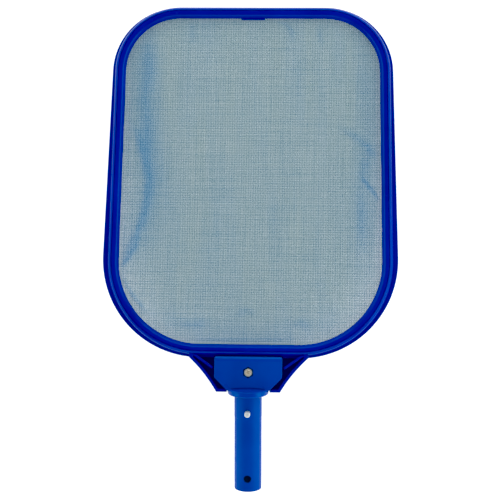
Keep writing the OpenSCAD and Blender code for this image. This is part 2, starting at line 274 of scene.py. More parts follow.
def plastic(name, dark, light, rough, tint, grain=0.05, specular=0.5, polish=None, painted_shade_attr=None):
    m, t, p = nodes_of(name)
    coord = node(t, "ShaderNodeTexCoord")
    flow = node(t, "ShaderNodeTexNoise", Scale=22.0, Detail=3.0, Roughness=0.6)
    t.links.new(coord.outputs["Object"], flow.inputs["Vector"])
    ramp = node(t, "ShaderNodeValToRGB")
    ramp.color_ramp.elements[0].position, ramp.color_ramp.elements[1].position = 0.35, 0.68
    ramp.color_ramp.elements[0].color, ramp.color_ramp.elements[1].color = (*dark, 1), (*light, 1)
    t.links.new(flow.outputs["Fac"], ramp.inputs["Fac"])
    # painted shade: where the named attribute is 1 the colour goes to near black, used for the inside of the tube's
    # bore
    if painted_shade_attr:
        painted_shade = node(t, "ShaderNodeAttribute", attribute_name=painted_shade_attr)
        mix = t.nodes.new("ShaderNodeMix")
        mix.data_type = "RGBA"
        t.links.new(painted_shade.outputs["Fac"], mix.inputs[0])
        t.links.new(ramp.outputs["Color"], mix.inputs[6])
        mix.inputs[7].default_value = (0.0, 0.0006, 0.006, 1)
        t.links.new(mix.outputs[2], p.inputs["Base Color"])
    else:
        t.links.new(ramp.outputs["Color"], p.inputs["Base Color"])
    fine = node(t, "ShaderNodeTexNoise", Scale=1400.0, Detail=2.0, Roughness=0.5)
    t.links.new(coord.outputs["Object"], fine.inputs["Vector"])
    wear = node(t, "ShaderNodeTexNoise", Scale=160.0, Detail=4.0, Roughness=0.65)
    t.links.new(coord.outputs["Object"], wear.inputs["Vector"])
    spread = node(t, "ShaderNodeMapRange")
    spread.inputs["From Min"].default_value, spread.inputs["From Max"].default_value = 0.3, 0.75
    spread.inputs["To Min"].default_value, spread.inputs["To Max"].default_value = rough - 0.05, rough + 0.08
    t.links.new(wear.outputs["Fac"], spread.inputs["Value"])
    if polish:
        shine = node(t, "ShaderNodeAttribute", attribute_name=polish)
        less = math_node(t, "SUBTRACT", 1.0, math_node(t, "MULTIPLY", shine.outputs["Fac"], 0.7))
        t.links.new(math_node(t, "MULTIPLY", spread.outputs["Result"], less), p.inputs["Roughness"])
    else:
        t.links.new(spread.outputs["Result"], p.inputs["Roughness"])
    bump = node(t, "ShaderNodeBump", Strength=grain, Distance=0.0004)
    t.links.new(fine.outputs["Fac"], bump.inputs["Height"])
    long_wave = node(t, "ShaderNodeBump", Strength=0.12, Distance=0.0006)
    t.links.new(flow.outputs["Fac"], long_wave.inputs["Height"])
    t.links.new(bump.outputs["Normal"], long_wave.inputs["Normal"])
    t.links.new(long_wave.outputs["Normal"], p.inputs["Normal"])
    p.inputs["Specular IOR Level"].default_value = specular
    p.inputs["Specular Tint"].default_value = (*tint, 1)
    p.inputs["IOR"].default_value = 1.5
    return m


def metal(name, colour, rough, streak=(1, 1, 1), scale=500.0, warm=None):
    m, t, p = nodes_of(name)
    coord = node(t, "ShaderNodeTexCoord")
    mapping = node(t, "ShaderNodeMapping")
    mapping.inputs["Scale"].default_value = streak
    t.links.new(coord.outputs["Object"], mapping.inputs["Vector"])
    n = node(t, "ShaderNodeTexNoise", Scale=scale, Detail=4.0, Roughness=0.6)
    t.links.new(mapping.outputs["Vector"], n.inputs["Vector"])
    ramp = node(t, "ShaderNodeValToRGB")
    ramp.color_ramp.elements[0].position, ramp.color_ramp.elements[1].position = 0.3, 0.75
    ramp.color_ramp.elements[0].color = (*(warm or tuple(c * 0.7 for c in colour)), 1)
    ramp.color_ramp.elements[1].color = (*colour, 1)
    t.links.new(n.outputs["Fac"], ramp.inputs["Fac"])
    t.links.new(ramp.outputs["Color"], p.inputs["Base Color"])
    spread = node(t, "ShaderNodeMapRange")
    spread.inputs["To Min"].default_value, spread.inputs["To Max"].default_value = rough - 0.08, rough + 0.12
    t.links.new(n.outputs["Fac"], spread.inputs["Value"])
    t.links.new(spread.outputs["Result"], p.inputs["Roughness"])
    bump = node(t, "ShaderNodeBump", Strength=0.08, Distance=0.0002)
    t.links.new(n.outputs["Fac"], bump.inputs["Height"])
    t.links.new(bump.outputs["Normal"], p.inputs["Normal"])
    p.inputs["Metallic"].default_value = 1.0
    return m


def woven(name, pitch=0.00085, thread=0.00041):
    """Fine plain-woven nylon mesh, open between its threads, from the sheet's own flat coordinates in metres."""
    m, t, p = nodes_of(name)
    uv = node(t, "ShaderNodeUVMap", uv_map="flat")
    split = node(t, "ShaderNodeSeparateXYZ")
    drift = node(t, "ShaderNodeTexNoise", Scale=14.0, Detail=2.0, Roughness=0.5)
    t.links.new(uv.outputs["UV"], drift.inputs["Vector"])
    off = node(t, "ShaderNodeVectorMath", operation="SCALE")
    t.links.new(drift.outputs["Color"], off.inputs[0])
    off.inputs["Scale"].default_value = 0.0016
    moved = node(t, "ShaderNodeVectorMath", operation="ADD")
    t.links.new(uv.outputs["UV"], moved.inputs[0])
    t.links.new(off.outputs["Vector"], moved.inputs[1])
    t.links.new(moved.outputs["Vector"], split.inputs[0])

    # yarns differ a little from one to the next, along their whole length
    def yarns(sx, sy, detail=3.0):
        mp = node(t, "ShaderNodeMapping")
        mp.inputs["Scale"].default_value = (sx, sy, 1)
        t.links.new(uv.outputs["UV"], mp.inputs["Vector"])
        n = node(t, "ShaderNodeTexNoise", Scale=1.0, Detail=detail, Roughness=0.6)
        t.links.new(mp.outputs["Vector"], n.inputs["Vector"])
        return n.outputs["Fac"]

    streak_x, streak_y = yarns(430.0, 12.0), yarns(12.0, 430.0)
    band = yarns(46.0, 5.0)
    fold_and_rail_shade = node(t, "ShaderNodeAttribute", attribute_name="fold_and_rail_shade")

    def across(v, streak):
        """1 on a thread, 0 between threads; thicker where its yarn is, where the cloth bunches up, in the broad
        colour-only bands, and next to the rails, where shade is painted in.
        """
        tri = math_node(t, "PINGPONG", v, pitch / 2)
        half = math_node(t, "ADD", math_node(t, "MULTIPLY", streak, thread * 0.34), thread * 0.40)
        heavy = math_node(t, "SINE", math_node(t, "MULTIPLY", v, 2 * math.pi / (3 * pitch)))
        half = math_node(t, "ADD", half, math_node(t, "MULTIPLY", heavy, thread * 0.11))
        half = math_node(t, "ADD", half, math_node(t, "MULTIPLY", fold_and_rail_shade.outputs["Fac"], thread * 0.13))
        return math_node(t, "MULTIPLY", math_node(t, "SUBTRACT", half, tri), 1 / (thread * 0.16), clamp=True), tri

    warp, warp_d = across(split.outputs["X"], streak_x)
    weft, weft_d = across(split.outputs["Y"], streak_y)
    solid = math_node(t, "MAXIMUM", warp, weft)

    # threads rise and dip over one another
    def wave(v, k):
        return math_node(t, "SINE", math_node(t, "MULTIPLY", v, k))

    k = math.pi / pitch
    over = math_node(t, "MULTIPLY", wave(math_node(t, "ADD", split.outputs["X"], pitch / 2), k), wave(math_node(t, "ADD", split.outputs["Y"], pitch / 2), k))
    height = math_node(t, "ADD", math_node(t, "MULTIPLY", over, 0.5), solid)
    bump = node(t, "ShaderNodeBump", Strength=0.5, Distance=0.00025)
    t.links.new(height, bump.inputs["Height"])

    colour = node(t, "ShaderNodeValToRGB")
    e = colour.color_ramp.elements
    e[0].position, e[1].position = 0.36, 0.98
    e[0].color, e[1].color = MESH_GREY, MESH_BLUE
    mixed = math_node(t, "ADD", math_node(t, "MULTIPLY", math_node(t, "ADD", streak_x, streak_y), 0.30), math_node(t, "MULTIPLY", band, 0.45))
    # the same attribute turns the threads bluer along the folds, in the colour-only bands, and as painted shade next to
    # the rails
    mixed = math_node(t, "ADD", mixed, math_node(t, "MULTIPLY", fold_and_rail_shade.outputs["Fac"], 0.55), clamp=True)
    t.links.new(mixed, colour.inputs["Fac"])
    t.links.new(colour.outputs["Color"], p.inputs["Base Color"])
    p.inputs["Roughness"].default_value = 0.55
    p.inputs["Specular IOR Level"].default_value = 0.35
    p.inputs["Sheen Weight"].default_value = 0.15
    p.inputs["Sheen Roughness"].default_value = 0.4
    t.links.new(bump.outputs["Normal"], p.inputs["Normal"])
    clear = node(t, "ShaderNodeBsdfTransparent")
    mix = node(t, "ShaderNodeMixShader")
    t.links.new(solid, mix.inputs[0])
    t.links.new(clear.outputs[0], mix.inputs[1])
    t.links.new(p.outputs[0], mix.inputs[2])
    t.links.new(mix.outputs[0], t.nodes["Material Output"].inputs["Surface"])
    return m


MESH_GREY, MESH_BLUE = (0.066, 0.150, 0.158, 1), (0.0, 0.120, 0.250, 1)
frame_blue = plastic("frame_blue_plastic", (0.0, 0.0045, 0.235), (0.0, 0.008, 0.28), 0.21, (0.0, 0.42, 1.0), 0.03, 0.42)
handle_blue = plastic("handle_blue_plastic", (0.0, 0.028, 0.270), (0.0, 0.037, 0.305), 0.50, (0.0, 0.55, 1.0), 0.10, 0.38, "polish", "bore")
mesh_mat = woven("mesh_nylon_weave")
cord_mat = woven("hem_cord_braid", 0.0008, 0.0005)
steel_warm = metal("screw_steel", (1.0, 0.93, 0.78), 0.40, (1, 1, 1), 700.0, (0.85, 0.74, 0.58))
steel_spring = metal("spring_steel", (0.66, 0.67, 0.68), 0.32, (40, 1, 1), 60.0)
steel_button = metal("button_steel", (0.60, 0.61, 0.60), 0.50, (1, 1, 1), 900.0, (0.52, 0.53, 0.53))
steel_button.node_tree.nodes["Principled BSDF"].inputs["Metallic"].default_value = 0.6


# ------------------------------------------------------------------ the rim's path
def lean(tx, ty, tr, lx, ly, lr):
    return math.asin((lr - tr) / math.hypot(tx - lx, ty - ly)) - math.atan2(tx - lx, ty - ly)


def stations(tx, ty, tr, lx, ly, lr, arc=20, straight=10):
    """(point, outward normal) all round an outline of four circles, anticlockwise from the right of the scoop edge's middle."""
    a = lean(tx, ty, tr, lx, ly, lr)
    corners = [(tx, ty, tr, a, math.pi / 2), (-tx, ty, tr, math.pi / 2, math.pi - a), (-lx, ly, lr, math.pi - a, 1.5 * math.pi), (lx, ly, lr, 1.5 * math.pi, 2 * math.pi + a)]
    out = []
    for i, (cx, cy, r, f, e) in enumerate(corners):
        for k in range(arc + 1):
            w = f + (e - f) * k / arc
            out.append((cx + r * math.cos(w), cy + r * math.sin(w), math.cos(w), math.sin(w)))
        nx, ny, nr, nf, _ = corners[(i + 1) % 4]
        p, q = out[-1], (nx + nr * math.cos(nf), ny + nr * math.sin(nf))
        for k in range(1, straight):
            s = k / straight
            out.append((p[0] + (q[0] - p[0]) * s, p[1] + (q[1] - p[1]) * s, p[2], p[3]))
    return out


RIM = stations(CTX, CTY, R_TOP, CLX, CLY, R_LOW, 28, 12)


def sweep(name, section, path=RIM, matrix=HEAD):
    return loops_mesh(name, [[(x + nx * u, y + ny * u, z) for u, z in section] for x, y, nx, ny in path], True, False, matrix)


# ------------------------------------------------------------------ rim moulding
def build_frame():
    section = fillet(
        [(1.2, 0), (11.8, 0), (11.8, 4.6), (11.25, 6.4), (10.35, 8.0), (9.3, 9.2), (8.5, 9.8), (7.9, 10.0), (7.5, 9.85), (7.5, 0.8), (4.4, 0.8), (4.4, 3.0), (1.2, 3.0)],
        [0.35, 0.3, 2.2, 2.5, 2.5, 1.6, 0.9, 0.35, 0.12, 0.12, 0.3, 0.3, 0.15], 3)
    rim = sweep("rim_moulding", section)
    # outer flange on its own outline, its width changing from the scoop edge to the handle's side
    fx, fy, fr = CTX + 2.4, CTY - 0.25, R_TOP + RIM_W - 0.2
    gx, gy, gr = CLX + 0.7, CLY + 2.0, R_LOW + RIM_W + 4.2
    path = stations(fx, fy, fr, gx, gy, gr, 28, 12)
    rings = []
    for x, y, nx, ny in path:
        w = 3.0 + 2.9 * max(0, min(1, (fy - y) / (fy - gy)))
        shape = fillet([(-w, 0.01), (0, 0.01), (0, FLANGE_H), (-w, FLANGE_H)], [0, 0.45, 0.75, 0], 3)
        rings.append([(x + nx * u, y + ny * u, z) for u, z in shape])
    flange = loops_mesh("flange", rings, True, False, HEAD)
    boolean(rim, flange, "UNION")
    # room for the hub plate
    boolean(rim, prism("room", [(-35.6, -4), (35.6, -4), (35.6, -0.4), (-35.6, -0.4)], -2.2, 15, matrix=HEAD), "DIFFERENCE")

    def flank(sign, r, n=18, extra=0.0):
        """Points down the hollow-curved flank, from the rail to the foot."""
        cx, cy = sign * (61.8 + 105.5), -117.0
        y0, y1 = -2.0, -REACH
        out = []
        for k in range(n + 1):
            y = y0 + (y1 - y0) * k / n
            out.append((cx - sign * math.sqrt(r * r - (y - cy) ** 2), y))
        return out

    # bracket floor, with the gap for the collar
    left, right = flank(-1, 156), flank(1, 156)
    floor = [(61.8, 2.9)] + [(x, y) for x, y in right] + [(22.3, -REACH), (22.3, -30.2), (-22.3, -30.2), (-22.3, -REACH)] + [(x, y) for x, y in left[::-1]] + [(-61.8, 2.9)]
    floor = floor[::-1]
    boolean(rim, prism("floor", floor, -DROP, -DROP + FLOOR_T, 0, 0.4, matrix=HEAD), "UNION")
    for s in (-1, 1):
        outer = flank(s, 156)
        inner = flank(s, 159.1)
        wall = [(outer[0][0] - 0.02 * s, 2.6)] + outer + [(inner[-1][0], -REACH)] + inner[::-1] + [(inner[0][0], 2.6)]
        clean = [wall[0]]
        for p in wall[1:]:
            if math.hypot(p[0] - clean[-1][0], p[1] - clean[-1][1]) > 0.05:
                clean.append(p)
        if s > 0:
            clean = clean[::-1]
        boolean(rim, prism("flank", clean, -DROP + 0.01, WALL_TOP, 0.7, 0.0, matrix=HEAD), "UNION")
        foot = fillet([(s * 23.4, -35.25), (s * 22.35, -36.4), (s * 22.35, -REACH + 0.02), (s * 33.0, -REACH + 0.02), (s * 34.5, -34.6), (s * 24.05, -34.6)], [0.3, 0.3, 0.6, 0.5, 0, 0.3], 3)
        if s < 0:
            foot = foot[::-1]
        boolean(rim, prism("foot", foot, -DROP + 0.02, WALL_TOP - 0.02, 0.7, 0.0, matrix=HEAD), "UNION")
        rib = fillet([(s * 59.3, 1.0), (s * 37.6, -14.2), (s * 36.0, -12.0), (s * 54.6, 1.0)], [0, 0.8, 0.8, 0], 4)
        if s > 0:
            rib = rib[::-1]
        boolean(rim, prism("rib", rib, -DROP + 0.015, WALL_TOP - 0.03, 0.6, 0.0, matrix=HEAD), "UNION")
    boolean(rim, prism("back_wall", [(-61.3, 0.4), (61.3, 0.4), (61.3, 2.95), (-61.3, 2.95)], -DROP + 0.025, 1.9, matrix=HEAD), "UNION")
    boss = lathe("boss", [(0, -DROP + 0.03), (8.3, -DROP + 0.03), (8.6, -DROP + 0.3), (8.6, 1.3), (8.3, 1.6), (0, 1.6)], 64, HEAD @ Matrix.Translation((0, -SCREW_AT, 0)))
    boolean(rim, boss, "UNION")
    hexa = [(9.7 / math.sqrt(3) * math.cos(math.radians(60 * k)), -SCREW_AT + 9.7 / math.sqrt(3) * math.sin(math.radians(60 * k))) for k in range(6)]
    boolean(rim, prism("nut_pocket", hexa, -DROP - 1, -0.6, matrix=HEAD), "DIFFERENCE")
    boolean(rim, lathe("bore", [(0, -6), (SCREW_R + 0.3, -6), (SCREW_R + 0.3, 5), (0, 5)], 48, HEAD @ Matrix.Translation((0, -SCREW_AT, 0))), "DIFFERENCE")
    tidy(rim)
    return give(rim, frame_blue, nodes=["net_frame"])


# ------------------------------------------------------------------ snap-in ring with its pull tab
def build_ring():
    section = fillet(
        [(0, 3.3), (5, 3.3), (5, 2.55), (6.9, 2.55), (6.9, 3.3), (7.3, 3.3), (7.3, 9.35), (6.9, 9.6), (5.8, 9.58), (4.8, 9.42), (3.8, 9.12), (2.8, 8.6), (1.9, 7.85), (1.1, 6.7), (0.45, 5.2), (0, 3.9)],
        [0.12, 0.1, 0.2, 0.2, 0.1, 0.1, 0.2, 0.4, 2.0, 2.0, 2.0, 2.0, 2.0, 2.0, 1.2, 0.5], 2)
    ring = sweep("snap_in_ring", section)
    tab = fillet([(-12.5, 356.6), (12.5, 356.6), (12.5, 359.0), (-12.5, 359.0)], [1.1, 0.4, 0, 0], 4)
    boolean(ring, prism("tab", tab, 3.32, 4.8, 0.35, 0.1, matrix=HEAD), "UNION")
    tidy(ring)
    return give(ring, frame_blue, nodes=["retaining_ring"])


# ------------------------------------------------------------------ net: one sheet, its edge turned down into the groove
def inner_half(y, u):
    """Half the width of the outline u outside the opening's edge, at height y."""
    a = lean(CTX, CTY, R_TOP, CLX, CLY, R_LOW)
    top_t, low_t = CTY + (R_TOP + u) * math.sin(a), CLY + (R_LOW + u) * math.sin(a)
    if y >= top_t:
        return CTX + math.sqrt(max(0, (R_TOP + u) ** 2 - (y - CTY) ** 2))
    if y <= low_t:
        return CLX + math.sqrt(max(0, (R_LOW + u) ** 2 - (y - CLY) ** 2))
    s = (y - low_t) / (top_t - low_t)
    return (CLX + (R_LOW + u) * math.cos(a)) * (1 - s) + (CTX + (R_TOP + u) * math.cos(a)) * s


def outward(x, y):
    a = lean(CTX, CTY, R_TOP, CLX, CLY, R_LOW)
    sx = 1 if x >= 0 else -1
    ax = abs(x)
    if y > CTY + R_TOP * math.sin(a):
        if ax <= CTX:
            return (0, 1)
        d = Vector((ax - CTX, y - CTY)).normalized()
        return (sx * d.x, d.y)
    if y < CLY + R_LOW * math.sin(a):
        if ax <= CLX:
            return (0, -1)
        d = Vector((ax - CLX, y - CLY)).normalized()
        return (sx * d.x, d.y)
    return (sx * math.cos(a), math.sin(a))


def bell(v, width):
    return math.exp(-(v / width) ** 2)


FOLDS = [  # points along the fold (x, y), half width, height, colour, softness towards its ends
    ([(-137, 92), (-131, 103), (-124, 115), (-116, 136), (-110, 160), (-108, 185), (-114, 210), (-121, 231), (-128, 246)], 4.6, 1.5, 0.55, 0.2),
    ([(-112, 205), (-113, 245), (-115, 270), (-109, 298), (-111, 327), (-114, 340)], 7.5, 1.1, 0.34, 0.3),
    ([(-104, 150), (-101, 185), (-104, 215), (-106, 262)], 10.0, -0.7, 0.25, 0.4),
    ([(-137, 92), (-128, 100), (-119, 116)], 2.2, 1.0, 0.7, 0.12),
    ([(-135, 83), (-129, 70), (-119, 57), (-108, 45)], 2.6, 0.9, 0.6, 0.25),
    ([(117, 187), (125, 177), (135, 164)], 2.0, 1.3, 1.1, 0.12),
    ([(92, 242), (108, 232), (122, 221), (134, 206)], 4.0, 0.8, 0.42, 0.3),
    ([(112, 178), (115, 160), (116, 138), (118, 112)], 5.5, 0.9, 0.36, 0.4),
    ([(121, 210), (118, 196), (113, 186)], 5.0, -0.5, 0.3, 0.3),
    ([(-78, 34), (-60, 31), (-38, 36)], 5.0, 0.8, 0.3, 0.4),
    ([(-14, 42), (-4, 47), (8, 44)], 4.0, 0.6, 0.35, 0.35),
    ([(44, 30), (53, 36), (62, 28)], 4.0, 0.6, 0.35, 0.35),
    ([(-60, 16), (-20, 15.5), (20, 16), (44, 17)], 2.4, 0.5, 0.4, 0.3),
    ([(-66, 354), (-65, 340), (-64, 330)], 3.0, 0.5, 0.3, 0.4),
    ([(22, 356), (34, 353), (41, 345), (43, 334)], 2.2, 0.6, 0.36, 0.3),
    ([(70, 352), (71, 340), (74, 328)], 2.8, 0.5, 0.3, 0.4),
    ([(112, 345), (124, 336), (132, 325)], 2.2, 0.5, 0.4, 0.3),
    # broad colour-only bands without relief: they thicken and blue the threads over wide strips near the left, right
    # and bottom rails
    ([(-126, 100), (-112, 140), (-106, 180), (-113, 230), (-113, 335)], 13.0, 0.0, 0.30, 0.12),
    ([(124, 70), (126, 200), (120, 330)], 13.0, 0.0, 0.22, 0.2),
    ([(-110, 45), (-40, 22), (40, 22), (110, 45)], 13.0, 0.0, 0.20, 0.2),
    ([(-86, 60), (-84, 120), (-86, 190)], 6.0, 0.5, 0.14, 0.4),
    ([(-40, 60), (-38, 140), (-42, 220)], 9.0, 0.4, 0.10, 0.4),
    ([(30, 90), (34, 160), (28, 250)], 9.0, 0.4, 0.10, 0.4),
]


def slack(x, y):
    """How far the cloth stands off its flat plane, in mm, and how much its threads thicken and turn bluer there, along
    the folds and in the colour-only bands (arrays).
    """
    h = -1.6 * np.maximum(0, 1 - (x / 136) ** 2) * np.maximum(0, 1 - ((y - 185) / 175) ** 2)
    f = np.zeros_like(x)
    for points, width, height, tint, soft in FOLDS:
        p = np.array(points, float)
        seg = np.hypot(*(p[1:] - p[:-1]).T)
        start = np.concatenate([[0], np.cumsum(seg)])
        best, along = np.full(x.shape, 1e9), np.zeros(x.shape)
        for k in range(len(seg)):
            d = (p[k + 1] - p[k]) / seg[k]
            t = np.clip((x - p[k, 0]) * d[0] + (y - p[k, 1]) * d[1], 0, seg[k])
            dist = np.hypot(x - p[k, 0] - d[0] * t, y - p[k, 1] - d[1] * t)
            near = dist < best
            best, along = np.where(near, dist, best), np.where(near, (start[k] + t) / start[-1], along)
        taper = np.clip(np.minimum(along, 1 - along) / soft + 0.25, 0, 1)
        w = np.exp(-(best / width) ** 2) * taper
        h += height * w
        f += tint * w
    return h, np.minimum(1.0, f)


def build_net():
    u_edge = 4.42
    y0, y1 = RIM_W - u_edge, FRAME_LENGTH - RIM_W + u_edge
    rows, cols = 220, 176
    # rows crowd towards the two ends, where the outline turns fastest
    ys = []
    for j in range(rows + 1):
        s = j / rows
        s = 0.5 - 0.5 * math.cos(math.pi * s) if True else s
        ys.append(y0 + (y1 - y0) * (0.35 * (j / rows) + 0.65 * s))
    verts, flat, ks, rims = [], [], [], []
    for y in ys:
        half = inner_half(min(max(y, y0 + 1e-6), y1 - 1e-6), u_edge)
        for i in range(cols + 1):
            t = i / cols * 2 - 1
            t = 0.75 * t + 0.25 * math.sin(t * math.pi / 2)
            x = half * t
            # distance inside the opening's edge, so that the cloth lies flat on the ledge
            edge = min(inner_half(min(max(y, RIM_W), FRAME_LENGTH - RIM_W), 0) - abs(x), y - RIM_W, FRAME_LENGTH - RIM_W - y)
            k = max(0.0, min(1.0, (edge - 0.2) / 6.0))
            ks.append(k * k * (3 - 2 * k))
            rims.append(edge)
            verts.append((x, y, 3.17))
            flat.append((x * MM, y * MM))
    xs, yv, ks, rims = np.array([v[0] for v in verts]), np.array([v[1] for v in verts]), np.array(ks), np.array(rims)
    h, f = slack(xs, yv)
    verts = [(a, b, 3.17 + c) for a, b, c in zip(xs.tolist(), yv.tolist(), (h * ks).tolist())]
    # threads bunch along the folds; the term that rises towards the opening's edge is painted shade, the rails' shadow
    # on the cloth
    fold_and_rail_shade = np.minimum(1, f * (0.35 + 0.65 * ks) + 0.22 * np.exp(-np.maximum(0, rims) / 7.0)).tolist()
    w = cols + 1
    faces = [(j * w + i, j * w + i + 1, (j + 1) * w + i + 1, (j + 1) * w + i) for j in range(rows) for i in range(cols)]
    # boundary, anticlockwise, then over the ledge's edge and down into the groove
    ring = [i for i in range(cols + 1)] + [j * w + cols for j in range(1, rows + 1)] + [rows * w + i for i in range(cols - 1, -1, -1)] + [j * w for j in range(rows - 1, 0, -1)]
    last = ring
    for step, (out, z) in enumerate(((0.14, 3.1), (0.2, 2.95), (0.2, 2.2), (0.2, 1.4), (0.2, 1.05))):
        new = []
        for v in ring:
            x, y, _ = verts[v]
            nx, ny = outward(x, y)
            new.append(len(verts))
            verts.append((x + nx * out, y + ny * out, z))
            flat.append(((x + nx * (0.3 + 0.5 * step)) * MM, (y + ny * (0.3 + 0.5 * step)) * MM))
            fold_and_rail_shade.append(0.0)
        n = len(ring)
        faces += [(last[k], new[k], new[(k + 1) % n], last[(k + 1) % n]) for k in range(n)]
        last = new
    mesh = bpy.data.meshes.new("net_sheet")
    mesh.from_pydata(verts, [], faces)
    mesh.transform(HEAD)
    uv = mesh.uv_layers.new(name="flat")
    for l in mesh.loops:
        uv.data[l.index].uv = flat[l.vertex_index]
    att = mesh.attributes.new("fold_and_rail_shade", "FLOAT", "POINT")
    att.data.foreach_set("value", np.array(fold_and_rail_shade, np.float32))
    for pz in mesh.polygons:
        pz.use_smooth = True
    obj = bpy.data.objects.new("net_sheet", mesh)
    scene.collection.objects.link(obj)
    give(obj, mesh_mat, nodes=["net_mesh", "net_hem"])
    area = sum(pz.area for pz in mesh.polygons)
    print("NET area", area, "verts", len(verts))
    return obj


def build_hem_cord():
    """Three-strand cord in the hem, laid round the groove."""
    r = 0.83
    path = stations(CTX, CTY, R_TOP, CLX, CLY, R_LOW, 60, 50)
    total, at = 0.0, [0.0]
    for i in range(len(path)):
        p, q = path[i], path[(i + 1) % len(path)]
        total += math.hypot(q[0] + q[2] * 5.85 - p[0] - p[2] * 5.85, q[1] + q[3] * 5.85 - p[1] - p[3] * 5.85)
        at.append(total)
    turns = round(total / 9.0)
    rings = []
    for i, (x, y, nx, ny) in enumerate(path):
        twist = 2 * math.pi * turns * at[i] / total
        ring = []
        for k in range(12):
            a = 2 * math.pi * k / 12
            rr = r * (0.88 + 0.12 * math.cos(3 * (a - twist)))
            ring.append((x + nx * (5.85 + rr * math.cos(a)), y + ny * (5.85 + rr * math.cos(a)), 1.67 + rr * math.sin(a)))
        rings.append(ring)
    obj = loops_mesh("hem_cord_laid", rings, True, False, HEAD)
    uv = obj.data.uv_layers.new(name="flat")
    co = obj.data.vertices
    for l in obj.data.loops:
        c = co[l.vertex_index].co
        uv.data[l.index].uv = (c.x + c.z, c.y)
    for pz in obj.data.polygons:
        pz.use_smooth = True
    return obj


